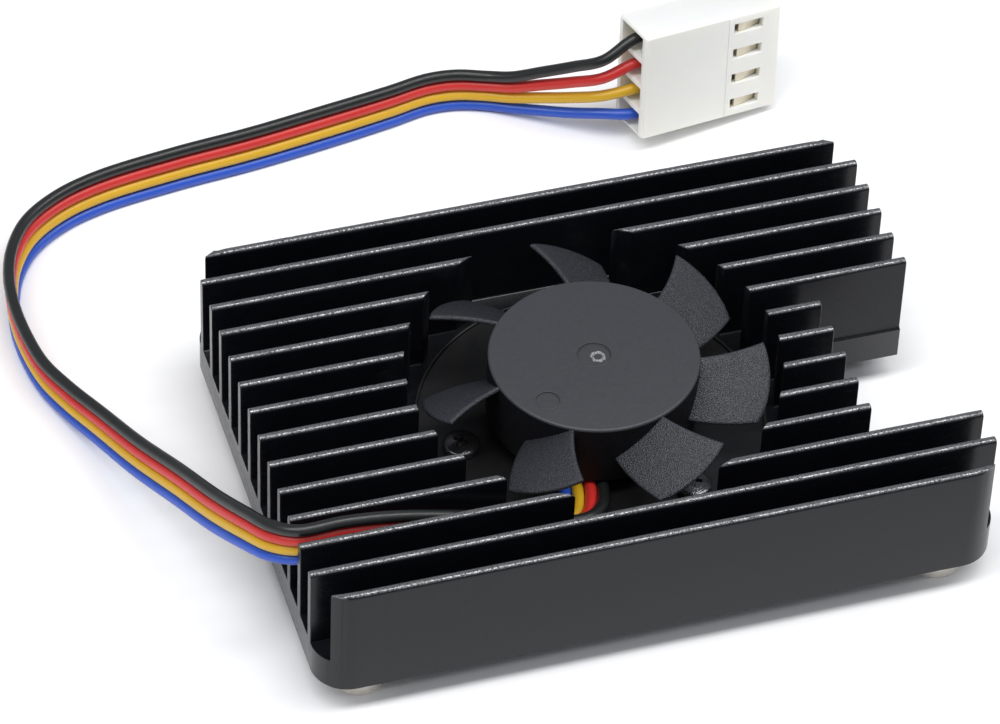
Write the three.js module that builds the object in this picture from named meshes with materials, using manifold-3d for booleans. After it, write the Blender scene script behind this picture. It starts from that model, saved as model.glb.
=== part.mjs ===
// A low finned heatsink for a small computer module, with a fan sunk into its middle, four threaded corner
// feet, an antenna notch in one end, and a four-wire lead that ends in a plug housing.
// Millimetres, +Z up. The origin is on the ground, under the middle of the heatsink. The notch is at +X.

import * as THREE from "three";
import { mergeVertices } from "three/addons/utils/BufferGeometryUtils.js";
import Module from "manifold-3d";

const wasm = await Module();
wasm.setup();

// ---------------------------------------------------------------- driving dimensions

const LENGTH = 56; // heatsink, along X
const WIDTH = 40; // heatsink, along Y
const CORNER_RADIUS = 3;
const BASE_THICKNESS = 3;

const FOOT_HEIGHT = 2.5; // the feet stand this far below the base
const FOOT_RADIUS = 2.25;
const FOOT_SPACING_X = 48; // the mounting holes of a 55 x 40 mm computer module
const FOOT_SPACING_Y = 33;
const FOOT_THREAD_RADIUS = 1.05; // tapping hole of an M2.5 thread
const FOOT_THREAD_DEPTH = 4;
const SPIGOT_RADIUS = 1.5; // the foot's pressed end, inside the base
const SPIGOT_HEIGHT = 2;
const FOOT_CHAMFER = 0.15;

const FIN_COUNT = 14;
const FIN_THICKNESS = 0.8;
const FIN_HEIGHT = 7.5;

const NOTCH_START_X = 19.65; // the antenna notch runs from here to the +X end
const NOTCH_FIRST_FIN = 5; // fins between these two stop at the notch
const NOTCH_LAST_FIN = 11;
const NOTCH_LEDGE = 0.25; // of the base, left in front of the notch's rear fin

const POCKET_RADIUS = 15.15; // round pocket that the fan turns in
const LAND_SIZE = 15; // raised contact land under the base
const LAND_HEIGHT = 0.6;

const PLATE_RADIUS = 14.3; // the fan's round base plate
const PLATE_THICKNESS = 0.6;
const SCREW_CIRCLE_RADIUS = 11;
const SCREW_ANGLES = [61, 182, 301]; // degrees from +X
const SCREW_RADIUS = 0.95; // M2
const SCREW_HEAD_RADIUS = 1.5;
const SCREW_HEAD_HEIGHT = 0.9;
const SCREW_FLAT_RADIUS = 1.08; // of the head's flat top
const SCREW_DEPTH = 2; // below the base's top face
const RECESS_HALF_LENGTH = 0.85; // of the cross recess in a screw's head
const RECESS_HALF_WIDTH = 0.19;
const RECESS_DEPTH = 0.45;

const HUB_RADIUS = 8.5;
const HUB_WALL = 0.8;
const HUB_TOP = 13.45; // stands a little above the fins
const HUB_CROWN = 1; // thickness of the hub's top
const HUB_BOTTOM = 7.7;
const HUB_CHAMFER = 0.25;
const DIMPLE_RADIUS = 1.4; // in the middle of the hub's top
const DIMPLE_DEPTH = 0.25;
const BOSS_RADIUS = 1.6; // inside the hub, round the shaft
const BOSS_LOW = 11.5;
const BLADE_COUNT = 7;
const BLADE_TIP_RADIUS = 13.7; // at the upper corner of a blade
const BLADE_SIDE_RADIUS = 14.3; // along a blade's outer side
const BLADE_THICKNESS = 0.5;
const BLADE_ROOT_DEPTH = 0.4; // how far a blade reaches into the hub's wall
const BLADE_TOP = 13.15; // heights of the middle surface
const BLADE_BOTTOM = 9.95;
const BLADE_FIRST_ANGLE = 95.1; // of a blade's upper outer corner, degrees from +X
const BLADE_LAG = 7.8; // the upper edge's inner end is this many degrees clockwise of its outer end
const BLADE_SWEEP_INNER = 28.2; // degrees from the upper edge to the lower edge
const BLADE_SWEEP_OUTER = 25.3;

const TUBE_RADIUS = 2.2; // the fan's fixed bearing tube
const TUBE_BORE_RADIUS = 1.65;
const SHAFT_RADIUS = 0.75;
const SHAFT_CLEARANCE = 0.05;
const SHAFT_HEIGHTS = [6.15, 12.85];
const SHAFT_GROOVE = [6.45, 6.75]; // heights of the clip's groove
const SHAFT_GROOVE_RADIUS = 0.5;
const CLIP_RADIUS = 1.3;
const CLIP_ANGLE = 290; // the part of a turn that the clip covers
const CLIP_MIDDLE = 90;
const STATOR_TOP = 10.9;
const STATOR_BOTTOM = 8.9;
const STATOR_RADIUS = 5.95;
const MAGNET_INNER_RADIUS = 6.3;
const MAGNET_THICKNESS = 0.75;
const MAGNET_HEIGHTS = [8.1, 12.1];
const YOKE_THICKNESS = 0.5;
const YOKE_HEIGHTS = [8, 12.4];
const BOARD_RADIUS = 7.2;
const BOARD_LOW = 6.4;
const BOARD_THICKNESS = 0.8;
const BOARD_FLAT_Y = -6.7; // the board's straight edge, where the lead is soldered on

const WIRE_RADIUS = 0.45;
const WIRE_SIDES = 8;
const WIRE_STEPS = 66;

const PLUG_LENGTH = 13.4; // from the wire end to the mating end
const PLUG_WIDTH = 10.2;
const PLUG_THICKNESS = 4.8;
const PLUG_PITCH = 2.54;
const PLUG_AT = [15.77, 35.02]; // plan position of its lower corner at the wire end
const PLUG_TURN = 11; // degrees about Z
const PLUG_DROOP = 4.5; // degrees that its mating end hangs down
const PLUG_LEAN = 8.5; // degrees that its wide face leans back

// ---------------------------------------------------------------- derived levels and places

const BASE_LOW = FOOT_HEIGHT;
const BASE_TOP = BASE_LOW + BASE_THICKNESS;
const FIN_TOP = BASE_TOP + FIN_HEIGHT;
const FIN_PITCH = (WIDTH - FIN_THICKNESS) / (FIN_COUNT - 1);
const PLATE_TOP = BASE_TOP + PLATE_THICKNESS;
const BOARD_TOP = BOARD_LOW + BOARD_THICKNESS;
const CROWN_LOW = HUB_TOP - HUB_CROWN;
const GAP = 0.3; // kept where a cord meets its neighbours, and inside the tilted plug
const FIT = 0.1; // clearance of a fixed piece in its hole
const CLOSE_FIT = 0.05;
const PAST = 1; // how far a cutting body runs past the face that it cuts
const FULL_TURN = 360;

const degrees = THREE.MathUtils.degToRad;
const finBack = (index) => WIDTH / 2 - index * FIN_PITCH; // Y of a fin's rear face, fin 0 at the rear
const onCircle = (radius, angle) => [
  radius * Math.cos(degrees(angle)),
  radius * Math.sin(degrees(angle)),
];
const footPlaces = [-1, 1].flatMap((sideY) =>
  [-1, 1].map((sideX) => [(sideX * FOOT_SPACING_X) / 2, (sideY * FOOT_SPACING_Y) / 2]),
);
const screwPlaces = SCREW_ANGLES.map((angle) => onCircle(SCREW_CIRCLE_RADIUS, angle));

// ---------------------------------------------------------------- materials

const finish = (color, roughness, metalness) =>
  new THREE.MeshStandardMaterial({ color, roughness, metalness });

const BLACK_ANODISED = finish(0x1b1b1e, 0.45, 0.8);
const NICKEL = finish(0xb9b6ae, 0.3, 1);
const FAN_PLASTIC = finish(0x2c2d30, 0.55, 0);
const PLATE_PLASTIC = finish(0x101012, 0.6, 0);
const SCREW_BLACK = finish(0x141416, 0.25, 0.9);
const STEEL = finish(0xa8aaad, 0.3, 1);
const CORE_STEEL = finish(0x55565a, 0.5, 1);
const MAGNET = finish(0x3a3a3c, 0.6, 0.3);
const BRONZE = finish(0x9a7446, 0.4, 1);
const COPPER = finish(0xb5622c, 0.35, 1);
const BOBBIN_PLASTIC = finish(0xd9d6c8, 0.6, 0);
const BOARD_GREEN = finish(0x1d4a2c, 0.5, 0);
const CHIP_BLACK = finish(0x18181a, 0.55, 0);
const PLUG_IVORY = finish(0xe9e5d8, 0.45, 0);
const TINNED = finish(0xc4c0b2, 0.3, 1);
const WIRE_FINISHES = [
  ["wire_blue", finish(0x2a4bc4, 0.45, 0)],
  ["wire_yellow", finish(0xe0a021, 0.45, 0)],
  ["wire_red", finish(0xc8322b, 0.45, 0)],
  ["wire_black", finish(0x18181a, 0.45, 0)],
];

// ---------------------------------------------------------------- shape helpers

// A closed geometry as a solid that can be joined and cut.
function solid(geometry) {
  const bare = geometry.clone();
  bare.deleteAttribute("normal");
  bare.deleteAttribute("uv");
  const merged = mergeVertices(bare);
  const vertProperties = merged.attributes.position.array;
  const triVerts = new Uint32Array(merged.index.array);
  return new wasm.Manifold(new wasm.Mesh({ numProp: 3, vertProperties, triVerts }));
}

const join = (first, ...rest) => rest.reduce((sum, next) => sum.add(next), first);

const cut = (first, ...rest) => rest.reduce((left, next) => left.subtract(next), first);

function block([x0, x1], [y0, y1], [z0, z1]) {
  const geometry = new THREE.BoxGeometry(x1 - x0, y1 - y0, z1 - z0);
  geometry.translate((x0 + x1) / 2, (y0 + y1) / 2, (z0 + z1) / 2);
  return solid(geometry);
}

function post(radius, [z0, z1], [x, y] = [0, 0], sides = 32) {
  const geometry = new THREE.CylinderGeometry(radius, radius, z1 - z0, sides);
  geometry.rotateX(Math.PI / 2);
  geometry.translate(x, y, (z0 + z1) / 2);
  return solid(geometry);
}

const pipe = (outer, inner, [z0, z1], sides = 48) =>
  cut(post(outer, [z0, z1], [0, 0], sides), post(inner, [z0 - 1, z1 + 1], [0, 0], sides));

// A solid of revolution about Z from [radius, height] pairs that start and end on the axis, lowest first.
function turned(profile, sides = 48) {
  const points = profile.map(([radius, height]) => new THREE.Vector2(radius, height));
  const geometry = new THREE.LatheGeometry(points, sides);
  geometry.rotateX(Math.PI / 2);
  return solid(geometry);
}

function prism(shape, [z0, z1], curveSegments = 10) {
  const geometry = new THREE.ExtrudeGeometry(shape, {
    depth: z1 - z0,
    bevelEnabled: false,
    curveSegments,
  });
  geometry.translate(0, 0, z0);
  return solid(geometry);
}

function roundedRectangle(length, width, radius) {
  const [x, y] = [length / 2 - radius, width / 2 - radius];
  const shape = new THREE.Shape();
  shape.absarc(x, y, radius, 0, Math.PI / 2);
  shape.absarc(-x, y, radius, Math.PI / 2, Math.PI);
  shape.absarc(-x, -y, radius, Math.PI, 1.5 * Math.PI);
  shape.absarc(x, -y, radius, 1.5 * Math.PI, 2 * Math.PI);
  return shape;
}

// A flat ring sector between two radii, centred on an angle.
function sector(inner, outer, angle, width) {
  const [from, to] = [degrees(angle - width / 2), degrees(angle + width / 2)];
  const shape = new THREE.Shape();
  shape.absarc(0, 0, outer, from, to, false);
  shape.absarc(0, 0, inner, to, from, true);
  return shape;
}

function part(name, body, material) {
  const { vertProperties, triVerts } = body.getMesh();
  const geometry = new THREE.BufferGeometry();
  geometry.setAttribute("position", new THREE.BufferAttribute(vertProperties, 3));
  geometry.setIndex(new THREE.BufferAttribute(triVerts, 1));
  geometry.computeVertexNormals();
  const mesh = new THREE.Mesh(geometry, material);
  mesh.name = name;
  return mesh;
}

// ---------------------------------------------------------------- heatsink

function finBlocks() {
  return Array.from({ length: FIN_COUNT }, (_, index) => {
    const back = finBack(index);
    return block(
      [-LENGTH / 2, LENGTH / 2],
      [back - FIN_THICKNESS, back],
      [BASE_TOP - BASE_THICKNESS / 2, FIN_TOP],
    );
  });
}

function heatsink() {
  const outline = roundedRectangle(LENGTH, WIDTH, CORNER_RADIUS);
  const base = prism(outline, [BASE_LOW, BASE_TOP]);
  const land = block(
    [-LAND_SIZE / 2, LAND_SIZE / 2],
    [-LAND_SIZE / 2, LAND_SIZE / 2],
    [BASE_LOW - LAND_HEIGHT, BASE_LOW + LAND_HEIGHT],
  );
  const fins = join(...finBlocks()).intersect(prism(outline, [BASE_LOW, FIN_TOP + PAST]));
  const pocket = post(POCKET_RADIUS, [BASE_LOW, FIN_TOP + PAST], [0, 0], 72);
  const notch = block(
    [NOTCH_START_X, LENGTH],
    [finBack(NOTCH_LAST_FIN), finBack(NOTCH_FIRST_FIN) - FIN_THICKNESS - NOTCH_LEDGE],
    [0, FIN_TOP + PAST],
  );
  const spigotHoles = footPlaces.map((place) =>
    post(SPIGOT_RADIUS + FIT, [0, BASE_LOW + SPIGOT_HEIGHT + FIT], place, 24),
  );
  const screwHoles = screwPlaces.map((place) =>
    post(SCREW_RADIUS + CLOSE_FIT, [BASE_TOP - SCREW_DEPTH - GAP, FIN_TOP], place),
  );
  return cut(join(base, land, cut(fins, pocket)), notch, ...spigotHoles, ...screwHoles);
}

function foot([x, y]) {
  const body = turned([
    [0, 0],
    [FOOT_RADIUS - FOOT_CHAMFER, 0],
    [FOOT_RADIUS, FOOT_CHAMFER],
    [FOOT_RADIUS, FOOT_HEIGHT],
    [SPIGOT_RADIUS, FOOT_HEIGHT],
    [SPIGOT_RADIUS, FOOT_HEIGHT + SPIGOT_HEIGHT],
    [0, FOOT_HEIGHT + SPIGOT_HEIGHT],
  ], 24);
  const thread = post(FOOT_THREAD_RADIUS, [-PAST, FOOT_THREAD_DEPTH], [0, 0], 24);
  return cut(body, thread).translate([x, y, 0]);
}

// ---------------------------------------------------------------- the fan's fixed parts

const TUBE_TOP = 11.2;
const THRUST_LOW = BASE_TOP + 0.3; // floor of the tube's bore
const THRUST_TOP = PLATE_TOP;
const SLEEVE_LOW = 7;
const SHOULDER_RADIUS = TUBE_RADIUS + 0.8; // the tube's foot, which the board rests on
const BOARD_HOLE_RADIUS = TUBE_RADIUS + FIT;

function fanBracket() {
  const body = turned([
    [0, BASE_TOP],
    [PLATE_RADIUS, BASE_TOP],
    [PLATE_RADIUS, PLATE_TOP],
    [SHOULDER_RADIUS, PLATE_TOP],
    [SHOULDER_RADIUS, BOARD_LOW],
    [TUBE_RADIUS, BOARD_LOW],
    [TUBE_RADIUS, TUBE_TOP],
    [0, TUBE_TOP],
  ]);
  const bore = post(TUBE_BORE_RADIUS, [THRUST_LOW, TUBE_TOP + PAST]);
  const holes = screwPlaces.map((place) => post(SCREW_RADIUS + FIT, [BASE_LOW, FIN_TOP], place));
  return cut(body, bore, ...holes);
}

function fanScrew([x, y]) {
  const headTop = PLATE_TOP + SCREW_HEAD_HEIGHT;
  const body = turned([
    [0, BASE_TOP - SCREW_DEPTH],
    [SCREW_RADIUS, BASE_TOP - SCREW_DEPTH],
    [SCREW_RADIUS, PLATE_TOP],
    [SCREW_HEAD_RADIUS, PLATE_TOP],
    [SCREW_HEAD_RADIUS, PLATE_TOP + SCREW_HEAD_HEIGHT / 2],
    [SCREW_FLAT_RADIUS, headTop],
    [0, headTop],
  ], 24);
  const long = [-RECESS_HALF_LENGTH, RECESS_HALF_LENGTH];
  const short = [-RECESS_HALF_WIDTH, RECESS_HALF_WIDTH];
  const depth = [headTop - RECESS_DEPTH, headTop + PAST];
  const recess = join(block(long, short, depth), block(short, long, depth));
  return cut(body, recess).translate([x, y, 0]);
}

const thrustPad = () => post(TUBE_BORE_RADIUS - FIT, [THRUST_LOW, THRUST_TOP]);

const bearingSleeve = () =>
  pipe(TUBE_BORE_RADIUS - CLOSE_FIT, SHAFT_RADIUS + SHAFT_CLEARANCE, [SLEEVE_LOW, TUBE_TOP], 32);

// Four wound arms between a ring on the tube and the pole shoes.
const ARM_ANGLES = [0, 90, 180, 270];
const ARM_HALF_WIDTH = 0.7;
const ARM_START = 2.8; // inside the ring
const CORE_RING_RADIUS = 3.2;
const SHOE_INNER_RADIUS = 5;
const SHOE_ANGLE = 66;
const BOBBIN_THICKNESS = 0.4;
const FLANGE_RADII = [4.85, 5.25];
const FLANGE_ANGLE = 36;
const FLANGE_HEIGHT = 1.1;
const COIL_ALONG = [3.45, 4.55]; // a winding's two ends along its arm
const COIL_THICKNESS = 0.65;

const turnedTo = (body, angle) => body.rotate([0, 0, angle]);

function statorCore() {
  const height = [STATOR_BOTTOM, STATOR_TOP];
  const arm = block([ARM_START, SHOE_INNER_RADIUS + GAP], [-ARM_HALF_WIDTH, ARM_HALF_WIDTH], height);
  const shoe = prism(sector(SHOE_INNER_RADIUS, STATOR_RADIUS, 0, SHOE_ANGLE), height, 8);
  const pole = join(arm, shoe);
  const ring = post(CORE_RING_RADIUS, height, [0, 0], 32);
  const poles = ARM_ANGLES.map((angle) => turnedTo(pole, angle));
  return cut(join(ring, ...poles), post(BOARD_HOLE_RADIUS, [0, FIN_TOP]));
}

// An insulating spider above or below the core. Its ring reaches from one height to another.
function bobbin(ringHeights, armHeights, flangeHeights) {
  const arm = block([ARM_START, SHOE_INNER_RADIUS], [-ARM_HALF_WIDTH, ARM_HALF_WIDTH], armHeights);
  const flange = prism(sector(...FLANGE_RADII, 0, FLANGE_ANGLE), flangeHeights, 4);
  const spokes = ARM_ANGLES.map((angle) => turnedTo(join(arm, flange), angle));
  const ring = post(CORE_RING_RADIUS + FIT, ringHeights, [0, 0], 32);
  return cut(join(ring, ...spokes), post(BOARD_HOLE_RADIUS, [0, FIN_TOP]));
}

const lowerBobbin = () =>
  bobbin(
    [BOARD_TOP, STATOR_BOTTOM],
    [STATOR_BOTTOM - BOBBIN_THICKNESS, STATOR_BOTTOM],
    [STATOR_BOTTOM - FLANGE_HEIGHT, STATOR_BOTTOM],
  );

const upperBobbin = () =>
  bobbin(
    [STATOR_TOP, STATOR_TOP + BOBBIN_THICKNESS],
    [STATOR_TOP, STATOR_TOP + BOBBIN_THICKNESS],
    [STATOR_TOP, STATOR_TOP + FLANGE_HEIGHT],
  );

// The winding round one arm, laid on the two bobbins.
function coil(angle) {
  const low = STATOR_BOTTOM - BOBBIN_THICKNESS - CLOSE_FIT;
  const high = STATOR_TOP + BOBBIN_THICKNESS + CLOSE_FIT;
  const inner = ARM_HALF_WIDTH + CLOSE_FIT;
  const outer = inner + COIL_THICKNESS;
  const outside = block(COIL_ALONG, [-outer, outer], [low - COIL_THICKNESS, high + COIL_THICKNESS]);
  const window = block([CORE_RING_RADIUS, SHOE_INNER_RADIUS], [-inner, inner], [low, high]);
  return turnedTo(cut(outside, window), angle);
}

function fanBoard() {
  const disc = pipe(BOARD_RADIUS, BOARD_HOLE_RADIUS, [BOARD_LOW, BOARD_TOP]);
  return cut(disc, block([-BOARD_RADIUS, BOARD_RADIUS], [-2 * BOARD_RADIUS, BOARD_FLAT_Y], [0, FIN_TOP]));
}

// The hall sensor and driver in one small package, between two windings.
function driverChip() {
  const [length, width, height] = [2, 1.5, 0.75];
  const [pinPitch, pinHalfWidth, pinReach, pinThickness] = [0.65, 0.15, 0.35, 0.2];
  const [fromAxis, angle] = [5.2, 45];
  const body = block([-length / 2, length / 2], [-width / 2, width / 2], [0, height]);
  const acrossPins = [-width / 2 - pinReach, width / 2 + pinReach];
  const pins = [-pinPitch, 0, pinPitch].map((x) =>
    block([x - pinHalfWidth, x + pinHalfWidth], acrossPins, [0, pinThickness]),
  );
  const [x, y] = onCircle(fromAxis, angle);
  return join(body, ...pins).rotate([0, 0, angle]).translate([x, y, BOARD_TOP]);
}

// ---------------------------------------------------------------- the fan's turning parts

function hub() {
  const body = turned([
    [0, HUB_BOTTOM],
    [HUB_RADIUS, HUB_BOTTOM],
    [HUB_RADIUS, HUB_TOP - HUB_CHAMFER],
    [HUB_RADIUS - HUB_CHAMFER, HUB_TOP],
    [DIMPLE_RADIUS, HUB_TOP],
    [DIMPLE_RADIUS - FIT, HUB_TOP - DIMPLE_DEPTH],
    [0, HUB_TOP - DIMPLE_DEPTH],
  ]);
  const hollow = post(HUB_RADIUS - HUB_WALL, [HUB_BOTTOM - PAST, CROWN_LOW], [0, 0], 48);
  const boss = post(BOSS_RADIUS, [BOSS_LOW, CROWN_LOW + FIT]);
  const bore = post(SHAFT_RADIUS + SHAFT_CLEARANCE, [BOSS_LOW - PAST, SHAFT_HEIGHTS[1] + CLOSE_FIT]);
  return cut(join(cut(body, hollow), boss), bore);
}

// The middle surface of a blade: along is 0 at the upper edge and 1 at the lower edge, out is 0 at the hub.
function bladePoint(along, out) {
  const [sideFullness, leadCurve] = [0.7, 1.2];
  const bulge = Math.sin(Math.PI * along) ** sideFullness;
  const side = BLADE_TIP_RADIUS + (BLADE_SIDE_RADIUS - BLADE_TIP_RADIUS) * bulge;
  const inner = HUB_RADIUS - BLADE_ROOT_DEPTH;
  const radius = inner + (side - inner) * out;
  const lead = BLADE_LAG * (out ** leadCurve - 1);
  const sweep = BLADE_SWEEP_INNER + (BLADE_SWEEP_OUTER - BLADE_SWEEP_INNER) * out;
  const [x, y] = onCircle(radius, BLADE_FIRST_ANGLE + lead - sweep * along);
  return new THREE.Vector3(x, y, BLADE_TOP + (BLADE_BOTTOM - BLADE_TOP) * along);
}

function blade() {
  const geometry = new THREE.BoxGeometry(1, 1, 1, 6, 4, 1);
  const places = geometry.attributes.position;
  const step = 0.01;
  for (let i = 0; i < places.count; i += 1) {
    const along = places.getX(i) + 0.5;
    const out = places.getY(i) + 0.5;
    const middle = bladePoint(along, out);
    const ahead = bladePoint(along + (along > 0.5 ? -step : step), out).sub(middle);
    const outward = bladePoint(along, out > 0.5 ? out - step : out + step).sub(middle);
    const flip = (along > 0.5) === (out > 0.5) ? 1 : -1;
    const normal = ahead.cross(outward).normalize().multiplyScalar(flip);
    middle.addScaledVector(normal, places.getZ(i) * BLADE_THICKNESS);
    places.setXYZ(i, middle.x, middle.y, middle.z);
  }
  return solid(geometry);
}

function impeller() {
  const first = blade();
  const blades = Array.from({ length: BLADE_COUNT }, (_, index) =>
    turnedTo(first, (index * FULL_TURN) / BLADE_COUNT),
  );
  return join(hub(), ...blades);
}

const rotorMagnet = () =>
  pipe(MAGNET_INNER_RADIUS + MAGNET_THICKNESS, MAGNET_INNER_RADIUS, MAGNET_HEIGHTS);

function rotorYoke() {
  const inner = MAGNET_INNER_RADIUS + MAGNET_THICKNESS + CLOSE_FIT;
  return pipe(inner + YOKE_THICKNESS, inner, YOKE_HEIGHTS);
}

function shaft() {
  const [low, high] = SHAFT_HEIGHTS;
  const [grooveLow, grooveHigh] = SHAFT_GROOVE;
  const chamfer = 0.15;
  return turned([
    [0, low],
    [SHAFT_RADIUS - chamfer, low],
    [SHAFT_RADIUS, low + chamfer],
    [SHAFT_RADIUS, grooveLow],
    [SHAFT_GROOVE_RADIUS, grooveLow],
    [SHAFT_GROOVE_RADIUS, grooveHigh],
    [SHAFT_RADIUS, grooveHigh],
    [SHAFT_RADIUS, high],
    [0, high],
  ], 24);
}

function shaftClip() {
  const ring = sector(SHAFT_GROOVE_RADIUS + CLOSE_FIT, CLIP_RADIUS, CLIP_MIDDLE, CLIP_ANGLE);
  return prism(ring, [SHAFT_GROOVE[0] + CLOSE_FIT, SHAFT_GROOVE[1] - CLOSE_FIT]);
}

// ---------------------------------------------------------------- plug

const CELL_HALF_WIDTH = 1; // each terminal's cell, across the plug's width
const CELL_DEPTH = [0.7, 4.1]; // and through its thickness
const CELL_END = 12.4; // the cells narrow to pin holes here
const CELL_MIDDLE = (CELL_DEPTH[0] + CELL_DEPTH[1]) / 2;
const PIN_HALF_WIDTH = 0.6;
const WINDOW = [8.75, 11.6]; // the locking windows in the wide face
const WINDOW_HALF_WIDTH = 0.48;
const RAIL_START = 6.2; // the two keying rails on the far face
const RAIL_HEIGHT = 0.6;
const RAIL_HALF_WIDTH = 0.4;
const SHEET = 0.25; // thickness of the terminals' metal
const SLEEVE = [6.6, 12]; // the stretches of a terminal along the plug
const NECK = [5, 6.8];
const NECK_HALF_WIDTH = 0.45;
const CRIMP = [3.5, 5.2];
const CRIMP_DEPTH = 1.6;
const cellPlace = (index) => (PLUG_WIDTH - 3 * PLUG_PITCH) / 2 + index * PLUG_PITCH;

function plugHousing() {
  const body = block([0, PLUG_LENGTH], [0, PLUG_THICKNESS], [0, PLUG_WIDTH]);
  const railDepth = [PLUG_THICKNESS - FIT, PLUG_THICKNESS + RAIL_HEIGHT];
  const rails = [-PLUG_PITCH, PLUG_PITCH].map((offset) => {
    const z = PLUG_WIDTH / 2 + offset;
    return block([RAIL_START, PLUG_LENGTH], railDepth, [z - RAIL_HALF_WIDTH, z + RAIL_HALF_WIDTH]);
  });
  const pinDepth = [CELL_MIDDLE - PIN_HALF_WIDTH, CELL_MIDDLE + PIN_HALF_WIDTH];
  const openings = [0, 1, 2, 3].flatMap((index) => {
    const z = cellPlace(index);
    const across = (half) => [z - half, z + half];
    return [
      block([-PAST, CELL_END], CELL_DEPTH, across(CELL_HALF_WIDTH)),
      block([CELL_END - PAST, PLUG_LENGTH + PAST], pinDepth, across(PIN_HALF_WIDTH)),
      block(WINDOW, [-PAST, CELL_DEPTH[0] + FIT], across(WINDOW_HALF_WIDTH)),
    ];
  });
  return cut(join(body, ...rails), ...openings);
}

// A folded receptacle with its locking tongue towards the window, and the crimp towards the wire.
function terminal(index) {
  const z = cellPlace(index);
  const half = CELL_HALF_WIDTH - GAP;
  const [near, far] = [CELL_DEPTH[0] + GAP, CELL_DEPTH[1] - GAP];
  const longer = ([from, to]) => [from - PAST / 2, to + PAST / 2];
  const outside = [z - half, z + half];
  const inside = [z - half + SHEET, z + half - SHEET];
  const sleeve = cut(
    block(SLEEVE, [near, far], outside),
    block(longer(SLEEVE), [near + SHEET, far - SHEET], inside),
  );
  const neck = block(NECK, [far - SHEET, far], [z - NECK_HALF_WIDTH, z + NECK_HALF_WIDTH]);
  const crimp = cut(
    block(CRIMP, [far - CRIMP_DEPTH, far], outside),
    block(longer(CRIMP), [far - CRIMP_DEPTH - PAST, far - SHEET], inside),
  );
  return join(sleeve, neck, crimp);
}

// The plug's own axes: x from the wires to the mating end, y through its thickness, z across its width.
const plugGroup = new THREE.Group();
plugGroup.rotation.set(-degrees(PLUG_LEAN), degrees(PLUG_DROOP), degrees(PLUG_TURN), "ZYX");
plugGroup.updateMatrix();
const plugCorners = [0, PLUG_LENGTH].flatMap((x) =>
  [0, PLUG_THICKNESS].map((y) => new THREE.Vector3(x, y, 0).applyMatrix4(plugGroup.matrix).z),
);
plugGroup.position.set(...PLUG_AT, -Math.min(...plugCorners));
plugGroup.updateMatrix();

// ---------------------------------------------------------------- lead

// Each wire's own start: from the board's edge, out under the blades, and round into the channel between
// two fins. The order is that of WIRE_FINISHES.
const WIRE_STARTS = [
  [
    [-4.4, -7, 6.85],
    [-4.95, -9, 6.8],
    [-5.6, -10.2, 6.7],
    [-7, -11, 6.65],
    [-10, -11.7, 6.7],
  ],
  [
    [-3.4, -7, 6.85],
    [-3.9, -9.2, 6.9],
    [-4.5, -10.5, 7],
    [-5.6, -11.25, 7.15],
    [-7, -11.8, 7.3],
    [-10, -12, 7.7],
  ],
  [
    [-2.35, -7, 6.9],
    [-2.85, -9.2, 7.05],
    [-3.6, -10.9, 7.25],
    [-4.5, -11.7, 7.45],
    [-5.6, -12.15, 7.65],
    [-7, -12.55, 8.05],
    [-10, -12.2, 8.65],
  ],
  [
    [-1.3, -7, 6.9],
    [-1.85, -9.2, 7.2],
    [-2.6, -11, 7.8],
    [-3.9, -12.3, 8.3],
    [-5.6, -12.6, 8.55],
    [-7, -12.4, 9.05],
    [-10, -12.2, 9.65],
  ],
];

// The stretch that the four wires share, standing on edge like a ribbon: x, y, the lowest wire's height,
// the spacing from wire to wire, and how far each wire sits to the right of the one below it.
const RIBBON = [
  [-13, -12.06, 7.4, 1.05, 0],
  [-16, -12.06, 8.3, 1.05, 0],
  [-20, -12.06, 9.3, 1.05, 0],
  [-24, -12.06, 9.8, 1.05, 0],
  [-27.6, -12.06, 9.8, 1.05, 0],
  [-29.5, -10.7, 9.3, 1.05, 0.06],
  [-31, -7.8, 8.2, 1.05, 0.12],
  [-32.4, -4, 6.6, 1.05, 0.15],
  [-34.1, 1.5, 4.6, 1.05, 0.15],
  [-36, 7, 2.8, 1.05, 0.12],
  [-37.8, 12.4, 1.5, 1.05, 0.08],
  [-39.3, 16.4, 0.8, 1.05, 0.04],
  [-40.5, 19.9, 0.55, 1.05, 0],
  [-41.1, 23.4, 0.5, 1.05, 0],
  [-41.2, 27, 0.5, 1.05, -0.03],
  [-40.7, 30.3, 0.5, 1.05, -0.1],
  [-39.6, 33.5, 0.5, 1.05, -0.15],
  [-37.6, 36.4, 0.5, 1.05, -0.2],
  [-34.6, 38.6, 0.5, 1.05, -0.2],
  [-30.9, 40, 0.5, 1.05, -0.2],
  [-24, 41.2, 0.5, 1.05, -0.2],
  [-17, 42, 0.5, 1.05, -0.2],
  [-10, 43.1, 0.5, 1.05, -0.2],
  [-4.2, 44.2, 0.5, 1.05, -0.15],
  [-0.5, 45, 0.5, 1.05, -0.12],
  [2, 44.9, 0.5, 1.05, -0.1],
  [4.5, 44.1, 0.55, 1.07, -0.05],
  [6.4, 43, 0.75, 1.2, 0],
  [8.7, 41.5, 1.2, 1.5, 0],
  [10.9, 40, 1.75, 1.78, 0],
  [13.2, 38.5, 2.45, 2.1, 0.05],
];
const WIRE_END = [0.2, 3.2]; // where the wires enter the plug's cells, and how far in they end

function ribbonPoint(row, index) {
  const [x, y, height, spacing, lean] = RIBBON[row];
  const [before, after] = [RIBBON[Math.max(row - 1, 0)], RIBBON[Math.min(row + 1, RIBBON.length - 1)]];
  const [alongX, alongY] = [after[0] - before[0], after[1] - before[1]];
  const aside = (index * lean) / Math.hypot(alongX, alongY);
  return new THREE.Vector3(x + aside * alongY, y - aside * alongX, height + index * spacing);
}

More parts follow.
